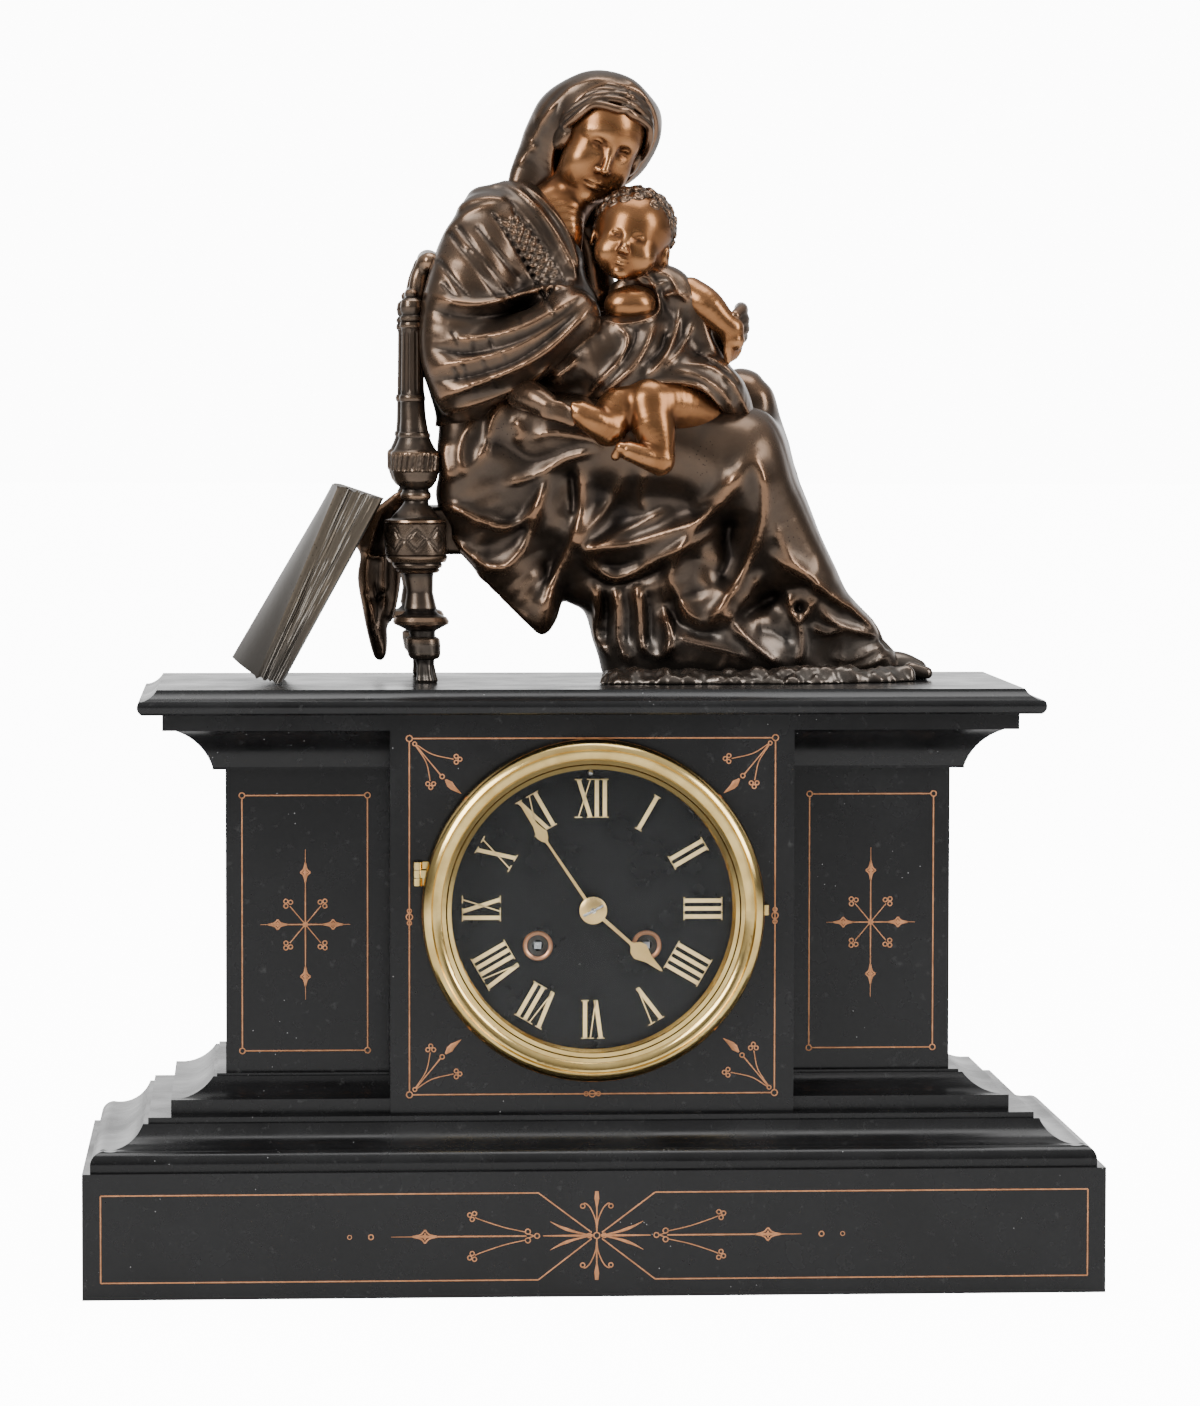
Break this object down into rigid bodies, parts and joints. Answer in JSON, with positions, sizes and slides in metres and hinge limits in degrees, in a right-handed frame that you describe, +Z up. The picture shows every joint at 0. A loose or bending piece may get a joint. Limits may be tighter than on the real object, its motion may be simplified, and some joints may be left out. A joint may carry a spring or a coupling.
{
  "type": "figural mantel clock",
  "caption": "Stepped slate mantel clock with a round glazed dial, a pendulum movement and a seated bronze group of a veiled woman and child on top.",
  "frame": {"origin": "middle of the flat underside of the plinth", "axes": "+X to the right seen from the dial, +Y to the back, +Z up"},
  "size_m": [0.4, 0.1639, 0.484],
  "materials": {
    "slate": "satin black, polished",
    "iron": "dark iron",
    "brass": "polished and lacquered",
    "glass": "clear",
    "dial_slate": "satin black",
    "gilt_brass": "gilt",
    "steel": "polished",
    "bell_metal": "turned",
    "bronze": "dark brown patina, rubbed to copper on the high places",
    "book_bronze": "grey brown patina"
  },
  "bodies": {
    "root": {"base_plinth": "slate", "base_moulding": "slate", "pier_plinths": "slate", "piers": "slate", "centre_panel": "slate", "cornices": "slate", "friezes": "slate", "top_slab": "slate", "back_panel": "slate", "tie_rods": "iron", "bezel_ring": "brass", "back_ring": "brass", "movement_straps": "brass", "front_plate": "brass", "back_plate": "brass", "plate_pillars": "brass", "suspension_cock": "brass", "dial_plate": "dial_slate", "hinge_pins": "steel", "bell_stand": "steel", "bell": "bell_metal", "group_base": "bronze", "skirt": "bronze", "bust": "bronze", "veiled_head": "bronze", "child_body": "bronze", "child_head": "bronze", "chair_posts": "bronze", "chair_seat": "bronze", "chair_back": "bronze", "hanging_cloth": "bronze", "book": "book_bronze"},
    "front_door": {"door_ring": "brass", "door_glass": "glass"},
    "back_door": {"back_door": "brass"},
    "minute_hand": {"minute_hand": "gilt_brass", "cannon_pinion": "brass"},
    "minute_wheel": {"minute_wheel": "brass"},
    "hour_hand": {"hour_hand": "gilt_brass", "hour_wheel": "brass"},
    "time_barrel": {"time_barrel": "brass", "time_mainspring": "steel"},
    "time_winding_arbor": {"time_winding_arbor": "steel"},
    "time_click": {"time_click": "steel"},
    "intermediate_wheel": {"intermediate_wheel": "brass"},
    "centre_wheel": {"centre_wheel": "brass"},
    "third_wheel": {"third_wheel": "brass"},
    "escape_wheel": {"escape_wheel": "brass"},
    "pallets": {"pallets": "steel"},
    "pendulum": {"pendulum_rod": "steel", "pendulum_bob": "brass"},
    "strike_barrel": {"strike_barrel": "brass", "strike_mainspring": "steel"},
    "strike_winding_arbor": {"strike_winding_arbor": "steel"},
    "strike_click": {"strike_click": "steel"},
    "strike_intermediate_wheel": {"strike_intermediate_wheel": "brass"},
    "pin_wheel": {"pin_wheel": "brass"},
    "locking_wheel": {"locking_wheel": "brass"},
    "fly": {"fly": "brass"},
    "hammer": {"hammer": "steel"}
  },
  "joints": [
    {"name": "front_door_hinge", "type": "hinge", "parent": "root", "child": "front_door", "pos_m": [-0.06896, -0.0517, 0.1487], "axis": [0, 0, -1], "range_deg": [0, 110]},
    {"name": "back_door_hinge", "type": "hinge", "parent": "root", "child": "back_door", "pos_m": [0.0618, 0.0816, 0.1487], "axis": [0, 0, -1], "range_deg": [0, 105]},
    {"name": "minute_hand_turn", "type": "hinge", "parent": "root", "child": "minute_hand", "pos_m": [0, 0, 0.1487], "axis": [0, -1, 0], "continuous": true},
    {"name": "minute_wheel_turn", "type": "hinge", "parent": "root", "child": "minute_wheel", "pos_m": [0.00707, 0, 0.15577], "axis": [0, -1, 0], "continuous": true},
    {"name": "hour_hand_turn", "type": "hinge", "parent": "root", "child": "hour_hand", "pos_m": [0, 0, 0.1487], "axis": [0, -1, 0], "continuous": true},
    {"name": "third_wheel_turn", "type": "hinge", "parent": "root", "child": "third_wheel", "pos_m": [0, 0, 0.16508], "axis": [0, -1, 0], "continuous": true},
    {"name": "centre_wheel_turn", "type": "hinge", "parent": "root", "child": "centre_wheel", "pos_m": [0, 0, 0.1487], "axis": [0, -1, 0], "continuous": true},
    {"name": "intermediate_wheel_turn", "type": "hinge", "parent": "root", "child": "intermediate_wheel", "pos_m": [0.01721, 0, 0.15399], "axis": [0, -1, 0], "continuous": true},
    {"name": "time_barrel_turn", "type": "hinge", "parent": "root", "child": "time_barrel", "pos_m": [0.0215, 0, 0.1342], "axis": [0, -1, 0], "continuous": true},
    {"name": "escape_wheel_turn", "type": "hinge", "parent": "root", "child": "escape_wheel", "pos_m": [0, 0, 0.17966], "axis": [0, -1, 0], "continuous": true},
    {"name": "locking_wheel_turn", "type": "hinge", "parent": "root", "child": "locking_wheel", "pos_m": [-0.02945, 0, 0.17293], "axis": [0, -1, 0], "continuous": true},
    {"name": "pin_wheel_turn", "type": "hinge", "parent": "root", "child": "pin_wheel", "pos_m": [-0.03295, 0, 0.16272], "axis": [0, -1, 0], "continuous": true},
    {"name": "strike_intermediate_wheel_turn", "type": "hinge", "parent": "root", "child": "strike_intermediate_wheel", "pos_m": [-0.01721, 0, 0.15399], "axis": [0, -1, 0], "continuous": true},
    {"name": "strike_barrel_turn", "type": "hinge", "parent": "root", "child": "strike_barrel", "pos_m": [-0.0215, 0, 0.1342], "axis": [0, -1, 0], "continuous": true},
    {"name": "fly_turn", "type": "hinge", "parent": "root", "child": "fly", "pos_m": [-0.02247, 0, 0.17861], "axis": [0, -1, 0], "continuous": true},
    {"name": "time_winding_turn", "type": "hinge", "parent": "root", "child": "time_winding_arbor", "pos_m": [0.0215, 0, 0.1342], "axis": [0, -1, 0], "continuous": true},
    {"name": "strike_winding_turn", "type": "hinge", "parent": "root", "child": "strike_winding_arbor", "pos_m": [-0.0215, 0, 0.1342], "axis": [0, -1, 0], "continuous": true},
    {"name": "pendulum_swing", "type": "hinge", "parent": "root", "child": "pendulum", "pos_m": [0, 0.01, 0.19166], "axis": [0, -1, 0], "range_deg": [-4, 4]},
    {"name": "pallets_rock", "type": "hinge", "parent": "root", "child": "pallets", "pos_m": [0, 0, 0.19166], "axis": [0, -1, 0], "range_deg": [-4.2, 4.2]},
    {"name": "hammer_lift", "type": "hinge", "parent": "root", "child": "hammer", "pos_m": [-0.041, 0, 0.1427], "axis": [0, -1, 0], "range_deg": [0, 12], "stiffness_Nm_per_rad": 0.004, "springref_deg": -14.32},
    {"name": "time_click_lift", "type": "hinge", "parent": "root", "child": "time_click", "pos_m": [0.0305, 0, 0.1262], "axis": [0, -1, 0], "range_deg": [-20, 0], "stiffness_Nm_per_rad": 0.0005, "springref_deg": 11.46},
    {"name": "strike_click_lift", "type": "hinge", "parent": "root", "child": "strike_click", "pos_m": [-0.0305, 0, 0.1262], "axis": [0, -1, 0], "range_deg": [0, 20], "stiffness_Nm_per_rad": 0.0005, "springref_deg": -11.46}
  ],
  "couplings": [
    {"joint": "minute_wheel_turn", "follows": "minute_hand_turn", "ratio": -0.33333},
    {"joint": "hour_hand_turn", "follows": "minute_hand_turn", "ratio": 0.083333},
    {"joint": "centre_wheel_turn", "follows": "third_wheel_turn", "ratio": -0.083333},
    {"joint": "intermediate_wheel_turn", "follows": "third_wheel_turn", "ratio": 0.011905},
    {"joint": "time_barrel_turn", "follows": "third_wheel_turn", "ratio": -0.0014881},
    {"joint": "escape_wheel_turn", "follows": "third_wheel_turn", "ratio": -12.5},
    {"joint": "pin_wheel_turn", "follows": "locking_wheel_turn", "ratio": -0.2},
    {"joint": "strike_intermediate_wheel_turn", "follows": "locking_wheel_turn", "ratio": 0.028571},
    {"joint": "strike_barrel_turn", "follows": "locking_wheel_turn", "ratio": -0.0035714},
    {"joint": "fly_turn", "follows": "locking_wheel_turn", "ratio": -5},
    {"joint": "pallets_rock", "follows": "pendulum_swing", "ratio": 1}
  ]
}
